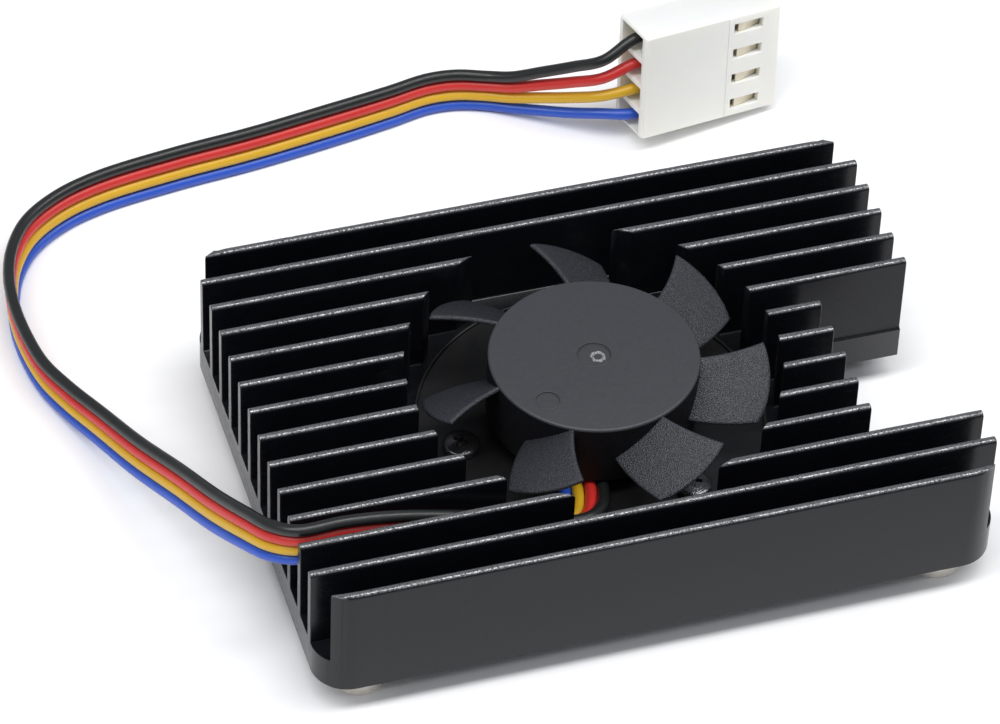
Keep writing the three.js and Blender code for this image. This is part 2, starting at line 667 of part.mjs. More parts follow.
function wireRoute(index) {
  const start = WIRE_STARTS[index].map((place) => new THREE.Vector3(...place));
  const shared = RIBBON.map((_, row) => ribbonPoint(row, index));
  const end = WIRE_END.map((x) =>
    new THREE.Vector3(x, CELL_MIDDLE, cellPlace(index)).applyMatrix4(plugGroup.matrix),
  );
  return new THREE.CatmullRomCurve3([...start, ...shared, ...end], false, "centripetal");
}

function wire(index) {
  const section = new THREE.Shape();
  section.absarc(0, 0, WIRE_RADIUS, 0, 2 * Math.PI);
  const extrudePath = wireRoute(index);
  const geometry = new THREE.ExtrudeGeometry(section, {
    steps: WIRE_STEPS,
    curveSegments: WIRE_SIDES / 2,
    bevelEnabled: false,
    extrudePath,
  });
  return solid(geometry);
}

// ---------------------------------------------------------------- assembly

const cooler = new THREE.Group();
cooler.add(part("heatsink", heatsink(), BLACK_ANODISED));
const FOOT_NAMES = ["front_left", "front_right", "rear_left", "rear_right"];
footPlaces.forEach((place, i) => cooler.add(part(`foot_${FOOT_NAMES[i]}`, foot(place), NICKEL)));
cooler.add(part("fan_bracket", fanBracket(), PLATE_PLASTIC));
screwPlaces.forEach((place, i) => cooler.add(part(`fan_screw_${i + 1}`, fanScrew(place), SCREW_BLACK)));
cooler.add(part("thrust_pad", thrustPad(), BOBBIN_PLASTIC));
cooler.add(part("bearing_sleeve", bearingSleeve(), BRONZE));
cooler.add(part("fan_board", fanBoard(), BOARD_GREEN));
cooler.add(part("driver_chip", driverChip(), CHIP_BLACK));
cooler.add(part("bobbin_lower", lowerBobbin(), BOBBIN_PLASTIC));
cooler.add(part("stator_core", statorCore(), CORE_STEEL));
cooler.add(part("bobbin_upper", upperBobbin(), BOBBIN_PLASTIC));
ARM_ANGLES.forEach((angle, i) => cooler.add(part(`coil_${i + 1}`, coil(angle), COPPER)));

const rotor = new THREE.Group();
rotor.add(part("impeller", impeller(), FAN_PLASTIC));
rotor.add(part("rotor_yoke", rotorYoke(), CORE_STEEL));
rotor.add(part("rotor_magnet", rotorMagnet(), MAGNET));
rotor.add(part("shaft", shaft(), STEEL));
rotor.add(part("shaft_clip", shaftClip(), STEEL));
cooler.add(rotor);

WIRE_FINISHES.forEach(([name, material], i) => cooler.add(part(name, wire(i), material)));
plugGroup.add(part("plug_housing", plugHousing(), PLUG_IVORY));
[0, 1, 2, 3].forEach((i) => plugGroup.add(part(`terminal_${i + 1}`, terminal(i), TINNED)));
cooler.add(plugGroup);

export default cooler;
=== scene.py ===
"""The looks of a finned heatsink: its fan, four threaded feet, and a four-wire lead with its plug.

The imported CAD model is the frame. The numbers below are in millimetres and degrees. Meshes are built in
millimetres, and piece() brings them to metres.
"""
import math

import bmesh
import bpy
from mathutils import Euler, Matrix, Quaternion, Vector, noise


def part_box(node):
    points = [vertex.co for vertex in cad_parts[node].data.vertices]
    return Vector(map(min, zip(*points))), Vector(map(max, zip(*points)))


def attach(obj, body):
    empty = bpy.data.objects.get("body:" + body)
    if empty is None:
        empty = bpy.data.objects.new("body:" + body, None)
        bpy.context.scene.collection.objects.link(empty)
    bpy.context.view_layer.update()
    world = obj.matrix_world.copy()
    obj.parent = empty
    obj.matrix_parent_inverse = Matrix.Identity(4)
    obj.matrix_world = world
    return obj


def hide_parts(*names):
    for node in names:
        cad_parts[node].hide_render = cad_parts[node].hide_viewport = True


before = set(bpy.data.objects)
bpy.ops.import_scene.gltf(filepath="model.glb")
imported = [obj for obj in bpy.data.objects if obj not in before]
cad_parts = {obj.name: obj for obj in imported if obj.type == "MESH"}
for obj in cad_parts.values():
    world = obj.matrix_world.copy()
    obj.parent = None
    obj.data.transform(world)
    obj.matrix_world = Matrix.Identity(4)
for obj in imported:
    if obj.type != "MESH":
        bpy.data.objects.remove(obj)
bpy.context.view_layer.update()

MM = 0.001


def box_mm(node):
    """The lowest and highest corner of a CAD node, in millimetres."""
    low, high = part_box(node)
    return low / MM, high / MM


# ---------------------------------------------------------------- dimensions

HEATSINK_LOW, HEATSINK_HIGH = box_mm("heatsink")
FIN_TOP = HEATSINK_HIGH.z
BASE_TOP = box_mm("fan_bracket")[0].z
BASE_THICKNESS = 3
BASE_LOW = BASE_TOP - BASE_THICKNESS
TIP_ROUNDING = 0.37  # of the fins' upper edges
ROOT_FILLET = 0.2  # where the fins meet the base
EDGE_ROUNDING = 0.05  # of the machined edges
TIP_STRAIGHT = 3.5  # the outer fins are straight from this far in from the heatsink's ends
NICK_STEP = 0.3  # spacing of the points that the nicks in the fins' tips are made from

FOOT_RADIUS = 2.25
FOOT_HEIGHT = BASE_LOW
FOOT_THREAD_RADIUS = 1.05
FOOT_THREAD_PITCH = 0.45
FOOT_THREAD_DEPTH = 4
SPIGOT_RADIUS = 1.5  # the foot's pressed end, inside the base

SCREW_HEAD_RADIUS = 1.5
SCREW_HEAD_HEIGHT = 0.9
SCREW_RADIUS = 0.95
SCREW_LOW = 3.5
PLATE_TOP = box_mm("fan_screw_1")[1].z - SCREW_HEAD_HEIGHT
PLATE_RADIUS = 14.3
LIP_WIDTH = 0.35
LIP_HEIGHT = 0.22

HUB_TOP = box_mm("impeller")[1].z
HUB_RADIUS = 8.5
HUB_WALL = 0.8
HUB_CROWN = 1
HUB_BOTTOM = box_mm("impeller")[0].z
DIMPLE_DEPTH = 0.15
SCAR_AT = (0.27, -0.18)
SCAR_RADIUS = 0.85
SCAR_CREST_RADIUS = 0.48
BLADE_COUNT = 7
BLADE_TIP_RADIUS = 13.7
BLADE_SIDE_RADIUS = 14.15
BLADE_THICKNESS = 0.42
BLADE_TOP = 13.15
BLADE_BOTTOM = 9.95
BLADE_FIRST_ANGLE = 95.1
BLADE_LAG = 7.8
BLADE_SWEEP_INNER = 28.2
BLADE_SWEEP_OUTER = 25.3
BLADE_ROOT_DEPTH = 0.4

WIRE_DIAMETER = 1.0
WIRE_LENGTHS = {"blue": 140, "yellow": 142, "red": 144, "black": 147}

PLUG_LENGTH = 13.4
PLUG_WIDTH = 10.2
PLUG_THICKNESS = 4.8
PLUG_PITCH = 2.54
PLUG_AT = (15.77, 35.02)
PLUG_TURN = 11
PLUG_DROOP = 4.5
PLUG_LEAN = 8.5
PLUG_STEP = 8.2  # the wide face stands a little proud from here to the mating end
PLUG_STEP_HEIGHT = 0.03
RAIL_START = 6.2  # the two keying rails on the far face
RAIL_HALF_WIDTH = 0.4
RAIL_HEIGHT = 0.6
PIN_HALF_WIDTH = 0.6
CELL_DEPTH = (0.7, 4.1)
CELL_MIDDLE = sum(CELL_DEPTH) / 2
CELL_HALF_WIDTH = 1
CELL_END = 12.4
WINDOW = (8.75, 11.6)
WINDOW_HALF_WIDTH = 0.48


# ---------------------------------------------------------------- camera, light and floor

def directed(azimuth, elevation):
    """The direction that a camera or a light at this azimuth and elevation lies in."""
    a, e = math.radians(azimuth), math.radians(elevation)
    return Vector((math.sin(a) * math.cos(e), -math.cos(a) * math.cos(e), math.sin(e)))


def add_camera():
    aim = Vector((-7.38, 1.47, 13.07)) * MM
    distance = 423.7 * MM
    back = directed(azimuth=-18.41, elevation=44.87)
    roll = math.radians(2.47)
    camera = bpy.data.objects.new("camera", bpy.data.cameras.new("camera"))
    camera.data.lens = 191.8
    camera.data.sensor_width = 36
    camera.data.clip_start = 0.01
    camera.data.clip_end = 20
    camera.location = aim + back * distance
    camera.rotation_mode = "QUATERNION"
    camera.rotation_quaternion = back.to_track_quat("Z", "Y") @ Quaternion((0, 0, 1), roll)
    bpy.context.scene.collection.objects.link(camera)
    bpy.context.scene.camera = camera


def add_lamp(name, azimuth, elevation, distance, width, depth, power):
    """A softbox that faces the heatsink's middle."""
    lamp = bpy.data.objects.new(name, bpy.data.lights.new(name, "AREA"))
    lamp.data.shape = "RECTANGLE"
    lamp.data.size = width
    lamp.data.size_y = depth
    lamp.data.energy = power
    direction = directed(azimuth, elevation)
    lamp.location = direction * distance
    lamp.rotation_mode = "QUATERNION"
    lamp.rotation_quaternion = direction.to_track_quat("Z", "Y")
    bpy.context.scene.collection.objects.link(lamp)


def add_surroundings():
    world = bpy.data.worlds.new("studio")
    world.use_nodes = True
    background = world.node_tree.nodes["Background"]
    background.inputs["Color"].default_value = (0.93, 0.97, 1.06, 1)
    background.inputs["Strength"].default_value = 0.32
    bpy.context.scene.world = world
    bpy.context.scene.view_settings.view_transform = "Standard"
    add_lamp("lamp_above", azimuth=0, elevation=83, distance=0.6, width=1.3, depth=0.2, power=5.4)
    add_lamp("lamp_front", azimuth=-8, elevation=56, distance=0.6, width=0.8, depth=0.06, power=0.55)


def add_floor():
    half = 3.0
    mesh = bpy.data.meshes.new("floor")
    corners = [(-half, -half, 0), (half, -half, 0), (half, half, 0), (-half, half, 0)]
    mesh.from_pydata(corners, [], [(0, 1, 2, 3)])
    floor = bpy.data.objects.new("floor", mesh)
    bpy.context.scene.collection.objects.link(floor)
    paper = Finish("floor_paper", (0.93, 0.93, 0.93), roughness=0.75)
    floor.data.materials.append(paper.material)


# ---------------------------------------------------------------- materials

class Finish:
    """A material: its shader, and the textures laid on it. Textures are in the row frame, in millimetres."""

    def __init__(self, name, colour, roughness, metallic=0.0, specular=0.5):
        self.material = bpy.data.materials.new(name)
        self.material.use_nodes = True
        self.tree = self.material.node_tree
        self.shader = self.tree.nodes["Principled BSDF"]
        self.shader.inputs["Base Color"].default_value = (*colour, 1)
        self.shader.inputs["Roughness"].default_value = roughness
        self.shader.inputs["Metallic"].default_value = metallic
        self.shader.inputs["Specular IOR Level"].default_value = specular
        self.height = None

    def node(self, kind, inputs=None, **settings):
        made = self.tree.nodes.new(kind)
        for key, value in settings.items():
            setattr(made, key, value)
        for socket, value in (inputs or {}).items():
            if isinstance(value, bpy.types.NodeSocket):
                self.tree.links.new(value, made.inputs[socket])
            else:
                made.inputs[socket].default_value = value
        return made

    def place(self, stretch=(1, 1, 1)):
        """Position in millimetres, divided by the stretch along each axis."""
        coordinates = self.node("ShaderNodeTexCoord").outputs["Object"]
        scale = [1 / (MM * s) for s in stretch]
        return self.node("ShaderNodeMapping", {"Vector": coordinates, "Scale": scale}).outputs["Vector"]

    def grain(self, scale, detail=3, roughness=0.55, stretch=(1, 1, 1)):
        """Noise with this many features per millimetre."""
        inputs = {"Vector": self.place(stretch), "Scale": scale, "Detail": detail, "Roughness": roughness}
        return self.node("ShaderNodeTexNoise", inputs).outputs["Fac"]

    def cells(self, scale, stretch=(1, 1, 1), feature="F1"):
        inputs = {"Vector": self.place(stretch), "Scale": scale}
        return self.node("ShaderNodeTexVoronoi", inputs, feature=feature).outputs["Distance"]

    def axis(self, name):
        """The position along X, Y or Z in millimetres."""
        return self.node("ShaderNodeSeparateXYZ", {"Vector": self.place()}).outputs[name]

    def ranged(self, value, low, high, to_low=0.0, to_high=1.0):
        inputs = {"Value": value, "From Min": low, "From Max": high, "To Min": to_low, "To Max": to_high}
        return self.node("ShaderNodeMapRange", inputs).outputs["Result"]

    def times(self, one, other):
        return self.node("ShaderNodeMath", {0: one, 1: other}, operation="MULTIPLY").outputs["Value"]

    def blend(self, share, first, second):
        """A colour between two."""
        inputs = {"Factor": share}
        made = self.node("ShaderNodeMix", inputs, data_type="RGBA")
        for socket, value in (("A", first), ("B", second)):
            target = [i for i in made.inputs if i.identifier == f"{socket}_Color"][0]
            if isinstance(value, bpy.types.NodeSocket):
                self.tree.links.new(value, target)
            else:
                target.default_value = (*value, 1)
        return [o for o in made.outputs if o.identifier == "Result_Color"][0]

    def colour(self, share, first, second):
        self.tree.links.new(self.blend(share, first, second), self.shader.inputs["Base Color"])

    def rough(self, value, low, high):
        """Roughness from low to high as the value goes from a quarter to three quarters."""
        self.tree.links.new(self.ranged(value, 0.25, 0.75, low, high), self.shader.inputs["Roughness"])

    def bump(self, height, distance, strength=1.0):
        """Relief of this many millimetres, on top of what is there."""
        inputs = {"Height": height, "Distance": distance * MM, "Strength": strength}
        made = self.node("ShaderNodeBump", inputs)
        if self.height is not None:
            self.tree.links.new(self.height, made.inputs["Normal"])
        self.height = made.outputs["Normal"]
        self.tree.links.new(self.height, self.shader.inputs["Normal"])


def anodised():
    """Black anodised aluminium: satin faces with faint drawing lines, and fin tips worn to a paler metal."""
    made = Finish("anodised_black", (0.004, 0.004, 0.005), 0.3, specular=0.36)
    tip = made.ranged(made.axis("Z"), FIN_TOP - 0.16, FIN_TOP - 0.04)
    streaks = made.ranged(made.grain(7, detail=4, roughness=0.75, stretch=(1.4, 1, 1)), 0.38, 0.58)
    worn = made.times(tip, streaks)
    cloud = made.grain(0.35, detail=4)
    faces = made.blend(cloud, (0.0026, 0.0029, 0.0042), (0.005, 0.0055, 0.0075))
    made.colour(worn, faces, (0.27, 0.27, 0.275))
    made.tree.links.new(made.times(worn, 0.85), made.shader.inputs["Metallic"])
    made.rough(made.grain(1.6, detail=5, stretch=(3, 1, 1)), 0.2, 0.3)
    made.bump(made.grain(14, detail=2), 0.004)
    made.bump(made.grain(6, detail=2, stretch=(30, 1, 1)), 0.003)
    made.bump(made.times(tip, made.grain(8, detail=3, roughness=0.65)), 0.018)
    return made.material


def nickel():
    made = Finish("nickel", (0.75, 0.71, 0.64), 0.3, metallic=0.75)
    made.colour(made.grain(1.2, detail=4), (0.7, 0.66, 0.59), (0.84, 0.8, 0.73))
    made.rough(made.grain(5, detail=4, stretch=(1, 1, 0.15)), 0.22, 0.45)
    made.bump(made.grain(9, stretch=(1, 1, 0.1)), 0.008)
    return made.material


def fan_plastic():
    """Glass-filled plastic with a fine spark-eroded texture."""
    made = Finish("fan_plastic", (0.02, 0.021, 0.025), 0.3)
    made.colour(made.grain(3.5, detail=5), (0.021, 0.0225, 0.028), (0.032, 0.034, 0.041))
    made.rough(made.grain(7, detail=3), 0.2, 0.36)
    made.bump(made.cells(9), 0.04)
    made.bump(made.grain(10, detail=3, roughness=0.7), 0.06)
    return made.material


def hub_plastic():
    """The hub's flat top, smoother than the blades."""
    made = Finish("hub_plastic", (0.014, 0.015, 0.019), 0.5)
    made.colour(made.grain(2.2, detail=5), (0.031, 0.032, 0.037), (0.04, 0.041, 0.047))
    made.rough(made.grain(4, detail=3), 0.42, 0.55)
    made.bump(made.grain(8, detail=3), 0.01)
    return made.material


def hub_wall_painted_shade():
    """The hub's side: the blades' plastic coloured darker as painted shade from the fins round the pocket,
    and plainer.
    """
    made = Finish("hub_wall_painted_shade", (0.006, 0.006, 0.007), 0.5, specular=0.2)
    made.colour(made.grain(2, detail=4), (0.004, 0.004, 0.005), (0.008, 0.008, 0.0095))
    made.rough(made.grain(3, stretch=(1, 1, 3)), 0.45, 0.6)
    made.bump(made.grain(5, detail=3), 0.01)
    return made.material


def torn_plastic():
    """The scar of the sprue: whitened and rough."""
    made = Finish("torn_plastic", (0.2, 0.2, 0.21), 0.3)
    torn = made.ranged(made.grain(8, detail=4, roughness=0.7), 0.3, 0.62)
    made.colour(torn, (0.05, 0.052, 0.056), (0.34, 0.34, 0.35))
    made.bump(made.grain(9, detail=3), 0.05)
    return made.material


def plate_plastic():
    made = Finish("plate_plastic", (0.006, 0.006, 0.007), 0.4)
    made.colour(made.grain(2, detail=4), (0.0035, 0.0036, 0.004), (0.007, 0.007, 0.008))
    made.bump(made.grain(9, detail=3), 0.015)
    return made.material


def screw_black():
    made = Finish("screw_black", (0.06, 0.06, 0.064), 0.14, metallic=0.85)
    made.colour(made.grain(3, detail=4), (0.05, 0.05, 0.053), (0.15, 0.15, 0.158))
    made.rough(made.grain(7, detail=3), 0.08, 0.24)
    made.bump(made.grain(6, detail=2), 0.024)
    return made.material


def insulation(name, colour, highlight):
    """Extruded PVC: satin, with slow changes of shade along it and a faint orange peel."""
    made = Finish(f"insulation_{name}", colour, 0.35)
    made.colour(made.grain(0.25, detail=4), colour, highlight)
    made.rough(made.grain(1.5, detail=3), 0.28, 0.42)
    made.bump(made.grain(3.5, detail=2), 0.012)
    return made.material


def ivory_nylon():
    made = Finish("ivory_nylon", (0.86, 0.85, 0.79), 0.36)
    made.colour(made.grain(0.3, detail=3), (0.88, 0.87, 0.82), (0.85, 0.835, 0.77))
    made.rough(made.grain(2, detail=3), 0.3, 0.45)
    made.bump(made.grain(4, detail=3), 0.008)
    made.shader.inputs["Subsurface Weight"].default_value = 0.35
    made.shader.inputs["Subsurface Radius"].default_value = (1, 0.8, 0.45)
    made.shader.inputs["Subsurface Scale"].default_value = 1.2 * MM
    return made.material


def tin_with_painted_reflection():
    # Tin plate whose colour is tinted beige and lightened: painted reflection of the ivory housing, and
    # painted light in the shaded cells.
    made = Finish("tin_with_painted_reflection", (0.75, 0.69, 0.55), 0.4, metallic=0.4)
    made.colour(made.grain(2.5, detail=4), (0.66, 0.58, 0.42), (0.82, 0.77, 0.65))
    made.rough(made.grain(4, detail=4), 0.32, 0.5)
    made.bump(made.grain(8), 0.008)
    return made.material


def plain_metal(name, dark, light, roughness, stretch=(1, 1, 1)):
    made = Finish(name, light, roughness, metallic=1.0)
    made.colour(made.grain(3, detail=4, stretch=stretch), dark, light)
    made.rough(made.grain(6, detail=4, stretch=stretch), 0.7 * roughness, 1.3 * roughness)
    made.bump(made.grain(9, stretch=stretch), 0.008)
    return made.material


def plain_plastic(name, dark, light, roughness):
    made = Finish(name, light, roughness)
    made.colour(made.grain(1.5, detail=4), dark, light)
    made.rough(made.grain(4), 0.8 * roughness, 1.2 * roughness)
    made.bump(made.grain(7), 0.012)
    return made.material


def board_green():
    """Solder mask over copper tracks that show as slightly raised lighter lanes."""
    made = Finish("board_green", (0.02, 0.09, 0.04), 0.3)
    tracks = made.ranged(made.cells(0.55, feature="DISTANCE_TO_EDGE"), 0.08, 0.12)
    made.colour(tracks, (0.035, 0.16, 0.07), (0.015, 0.075, 0.035))
    made.rough(made.grain(3), 0.22, 0.38)
    made.bump(tracks, 0.03, strength=0.6)
    made.bump(made.grain(12), 0.005)
    return made.material


# ---------------------------------------------------------------- mesh helpers

def block(xs, ys, zs):
    """A closed box between two values on each axis."""
    made = bmesh.new()
    corners = [made.verts.new((x, y, z)) for x in xs for y in ys for z in zs]
    sides = [(0, 1, 3, 2), (4, 6, 7, 5), (0, 4, 5, 1), (2, 3, 7, 6), (0, 2, 6, 4), (1, 5, 7, 3)]
    for side in sides:
        made.faces.new([corners[i] for i in side])
    return made


def turned(profile, sides=96, closed=False):
    """A surface of revolution about Z from (radius, height) pairs, closed at the axis or onto its start."""
    made = bmesh.new()
    rings = []
    for radius, height in profile:
        if radius < 1e-6:
            rings.append([made.verts.new((0, 0, height))])
            continue
        angles = [2 * math.pi * k / sides for k in range(sides)]
        rings.append([made.verts.new((radius * math.cos(a), radius * math.sin(a), height)) for a in angles])
    pairs = list(zip(rings, rings[1:]))
    if closed:
        pairs.append((rings[-1], rings[0]))
    for one, other in pairs:
        for k in range(sides):
            after = (k + 1) % sides
            if len(one) == 1:
                made.faces.new((one[0], other[after], other[k]))
            elif len(other) == 1:
                made.faces.new((one[k], one[after], other[0]))
            else:
                made.faces.new((one[k], one[after], other[after], other[k]))
    bmesh.ops.recalc_face_normals(made, faces=made.faces)
    return made


def curved(middle, radius, start, end, steps=5):
    """Points of an arc in a turned profile, from one angle to another."""
    angles = [math.radians(start + (end - start) * k / steps) for k in range(steps + 1)]
    return [(middle[0] + radius * math.cos(a), middle[1] + radius * math.sin(a)) for a in angles]


def moved(made, matrix):
    made.transform(matrix)
    return made


def joined(first, *others):
    """One bmesh that holds the faces of them all."""
    for other in others:
        mesh = bpy.data.meshes.new("joined")
        other.to_mesh(mesh)
        first.from_mesh(mesh)
        bpy.data.meshes.remove(mesh)
    return first


def combined(body, others, operation):
    """The closed body with the closed others cut away, or added to it as one solid."""
    made = []
    for solid in [body, *others]:
        mesh = bpy.data.meshes.new("solid")
        solid.to_mesh(mesh)
        made.append(bpy.data.objects.new("solid", mesh))
        bpy.context.scene.collection.objects.link(made[-1])
    for other in made[1:]:
        modifier = made[0].modifiers.new("boolean", "BOOLEAN")
        modifier.object = other
        modifier.operation = operation
        modifier.solver = "EXACT"
    shown = made[0].evaluated_get(bpy.context.evaluated_depsgraph_get())
    result_mesh = bpy.data.meshes.new_from_object(shown)
    result = bmesh.new()
    result.from_mesh(result_mesh)
    bpy.data.meshes.remove(result_mesh)
    for object_made in made:
        mesh = object_made.data
        bpy.data.objects.remove(object_made)
        bpy.data.meshes.remove(mesh)
    return result


def flattened(made):
    """Merges the triangles of each flat face."""
    bmesh.ops.remove_doubles(made, verts=made.verts, dist=0.0005)
    bmesh.ops.dissolve_limit(made, angle_limit=math.radians(0.5), verts=made.verts, edges=made.edges)
    return made


def sharp_edges(made, angle=30):
    limit = math.radians(angle)
    return [e for e in made.edges if len(e.link_faces) == 2 and e.calc_face_angle() > limit]


def rounded(made, edges, radius, segments=2):
    bmesh.ops.bevel(
        made, geom=edges, offset=radius, offset_type="OFFSET", segments=segments, profile=0.5,
        affect="EDGES", clamp_overlap=False,
    )
    return made


def copied(node):
    """A CAD node's shape in millimetres, with whole flat faces."""
    made = bmesh.new()
    made.from_mesh(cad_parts[node].data)
    made.transform(Matrix.Scale(1 / MM, 4))
    return flattened(made)


def piece(name, made, material, body="root", stands_for=(), smooth=32):
    """A finished piece of the object from a bmesh in millimetres."""
    made.transform(Matrix.Scale(MM, 4))
    mesh = bpy.data.meshes.new(name)
    made.to_mesh(mesh)
    made.free()
    for face in mesh.polygons:
        face.use_smooth = True
    mesh.set_sharp_from_angle(angle=math.radians(smooth))
    mesh.materials.append(material)
    shown = bpy.data.objects.new(name, mesh)
    bpy.context.scene.collection.objects.link(shown)
    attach(shown, body)
    if stands_for:
        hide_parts(*stands_for)
    return shown


def dressed(node, material, bevel=0.04):
    """Keeps a CAD node, with softened edges and a material."""
    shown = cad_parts[node]
    shown.data.materials.clear()
    shown.data.materials.append(material)
    flat = shown.modifiers.new("flat", "DECIMATE")
    flat.decimate_type = "DISSOLVE"
    flat.angle_limit = math.radians(0.5)
    soft = shown.modifiers.new("soft", "BEVEL")
    soft.width = bevel * MM
    soft.segments = 2
    soft.limit_method = "ANGLE"
    soft.angle_limit = math.radians(30)


# ---------------------------------------------------------------- heatsink

def near_height(edge, height):
    return all(abs(v.co.z - height) < 0.002 for v in edge.verts)


def along_x(edge):
    across = edge.verts[1].co - edge.verts[0].co
    return abs(across.x) > 0.95 * across.length


def cut_across(made, faces, x):
    """Cuts the faces at one place along X."""
    geometry = [*faces, *{e for f in faces for e in f.edges}, *{v for f in faces for v in f.verts}]
    cut = bmesh.ops.bisect_plane(made, geom=geometry, plane_co=(x, 0, 0), plane_no=(1, 0, 0))
    return [g for g in cut["geom"] if isinstance(g, bmesh.types.BMFace)]


def round_fin_tips(made):
    """
    The extruded fins' upper edges are round along their length, and sharp where they were sawn.
    The two outer fins narrow at the heatsink's corners, so their tips are first cut a little before that.
    """
    outer = [f for f in made.faces if f.normal.z > 0.99 and min(abs(v.co.y) for v in f.verts) > 19]
    for x in (HEATSINK_LOW.x + TIP_STRAIGHT, HEATSINK_HIGH.x - TIP_STRAIGHT):
        outer = cut_across(made, [f for f in outer if f.calc_center_median().z > FIN_TOP - 0.01], x)
    tips = [e for e in sharp_edges(made) if near_height(e, FIN_TOP) and along_x(e)]
    rounded(made, tips, TIP_ROUNDING, segments=4)


def fill_fin_roots(made):
    """The inner corners where the fins' faces meet the floors of the channels."""
    roots = [e for e in sharp_edges(made) if near_height(e, BASE_TOP) and along_x(e) and not e.is_convex]
    rounded(made, roots, ROOT_FILLET, segments=3)


def soften_machined_edges(made):
    edges = [e for e in sharp_edges(made, 40) if min(v.co.z for v in e.verts) > BASE_LOW - 0.01]
    rounded(made, [e for e in edges if e.is_convex], EDGE_ROUNDING, segments=1)


def divide_along_x(made, faces, start, step):
    """Cuts the faces at even steps along X."""
    x = start
    while faces:
        x += step
        faces = [f for f in cut_across(made, faces, x) if max(v.co.x for v in f.verts) > x + 0.001]


def nick_fin_tips(made):
    """Divides the tips along their length, then dents them."""
    tips = [f for f in made.faces if f.calc_center_median().z > FIN_TOP - TIP_ROUNDING]
    divide_along_x(made, tips, HEATSINK_LOW.x + 0.011, NICK_STEP)
    for vertex in made.verts:
        above = vertex.co.z - (FIN_TOP - 0.8 * TIP_ROUNDING)
        if above > 0:
            rough = noise.noise(Vector((vertex.co.x * 1.3, vertex.co.y * 9, 3.1)))
            fine = noise.noise(Vector((vertex.co.x * 4.3, vertex.co.y * 7, 8.7)))
            dent = max(0.0, rough - 0.36) * 0.12 + max(0.0, fine) * 0.008
            vertex.co.z -= min(dent, 0.04)
            vertex.co.y += 0.008 * fine


def add_heatsink():
    made = copied("heatsink")
    round_fin_tips(made)
    fill_fin_roots(made)
    soften_machined_edges(made)
    nick_fin_tips(made)
    piece("heatsink_body", made, anodised(), stands_for=["heatsink"], smooth=28)


def foot(place):
    """A turned stud with a rounded rim and a real thread in its bore."""
    rim = curved((FOOT_RADIUS - 0.3, 0.3), 0.3, -90, 0)
    thread = []
    height = 0.3
    while height < FOOT_THREAD_DEPTH:
        thread += [(FOOT_THREAD_RADIUS, height), (FOOT_THREAD_RADIUS + 0.2, height + FOOT_THREAD_PITCH / 2)]
        height += FOOT_THREAD_PITCH
    bore = [(0, 4.05), (FOOT_THREAD_RADIUS, 4.05), *reversed(thread), (FOOT_THREAD_RADIUS + 0.15, 0)]
    shoulder = FOOT_HEIGHT - 0.02
    outside = [*rim, (FOOT_RADIUS, shoulder), (SPIGOT_RADIUS, shoulder), (SPIGOT_RADIUS, 4.45), (0, 4.45)]
    return moved(turned([*bore, *outside], 64), Matrix.Translation((place.x, place.y, 0)))


def add_feet():
    finish = nickel()
    for corner in ("front_left", "front_right", "rear_left", "rear_right"):
        low, high = box_mm(f"foot_{corner}")
        made = foot((low + high) / 2)
        piece(f"foot_stud_{corner}", made, finish, stands_for=[f"foot_{corner}"])


# ---------------------------------------------------------------- fan: screws and turning parts

def screw(place):
    """A pan head with a tapered cross recess, on a plain shank."""
    top = PLATE_TOP + SCREW_HEAD_HEIGHT
    dome = curved((0, top - 3.2), 3.2, 90 - math.degrees(math.asin(1.2 / 3.2)), 90, 6)
    rim = curved((SCREW_HEAD_RADIUS - 0.28, PLATE_TOP + 0.42), 0.28, 0, 62, 5)
    shank = [(0, SCREW_LOW), (SCREW_RADIUS, SCREW_LOW), (SCREW_RADIUS, PLATE_TOP + 0.02)]
    under = [(SCREW_HEAD_RADIUS - 0.06, PLATE_TOP + 0.02), (SCREW_HEAD_RADIUS, PLATE_TOP + 0.1)]
    body = turned([*shank, *under, *rim, *dome[1:]], 64)
    wings = []
    for turn in (0, 90):
        wing = block((-0.86, 0.86), (-0.2, 0.2), (top - 0.5, top + 0.3))
        for vertex in wing.verts:
            if vertex.co.z < top:
                vertex.co.x *= 0.5
                vertex.co.y *= 0.7
        wings.append(moved(wing, Matrix.Rotation(math.radians(turn), 4, "Z")))
    wings.append(turned([(0, top - 0.62), (0.42, top + 0.2), (0, top + 0.2)], 24))
    head = combined(body, wings, "DIFFERENCE")
    turned_by = Matrix.Rotation(math.radians(28 * place.x), 4, "Z")
    return moved(head, Matrix.Translation((place.x, place.y, 0)) @ turned_by)


def add_screws():
    finish = screw_black()
    for number in (1, 2, 3):
        low, high = box_mm(f"fan_screw_{number}")
        made = screw((low + high) / 2)
        piece(f"pan_screw_{number}", made, finish, stands_for=[f"fan_screw_{number}"])


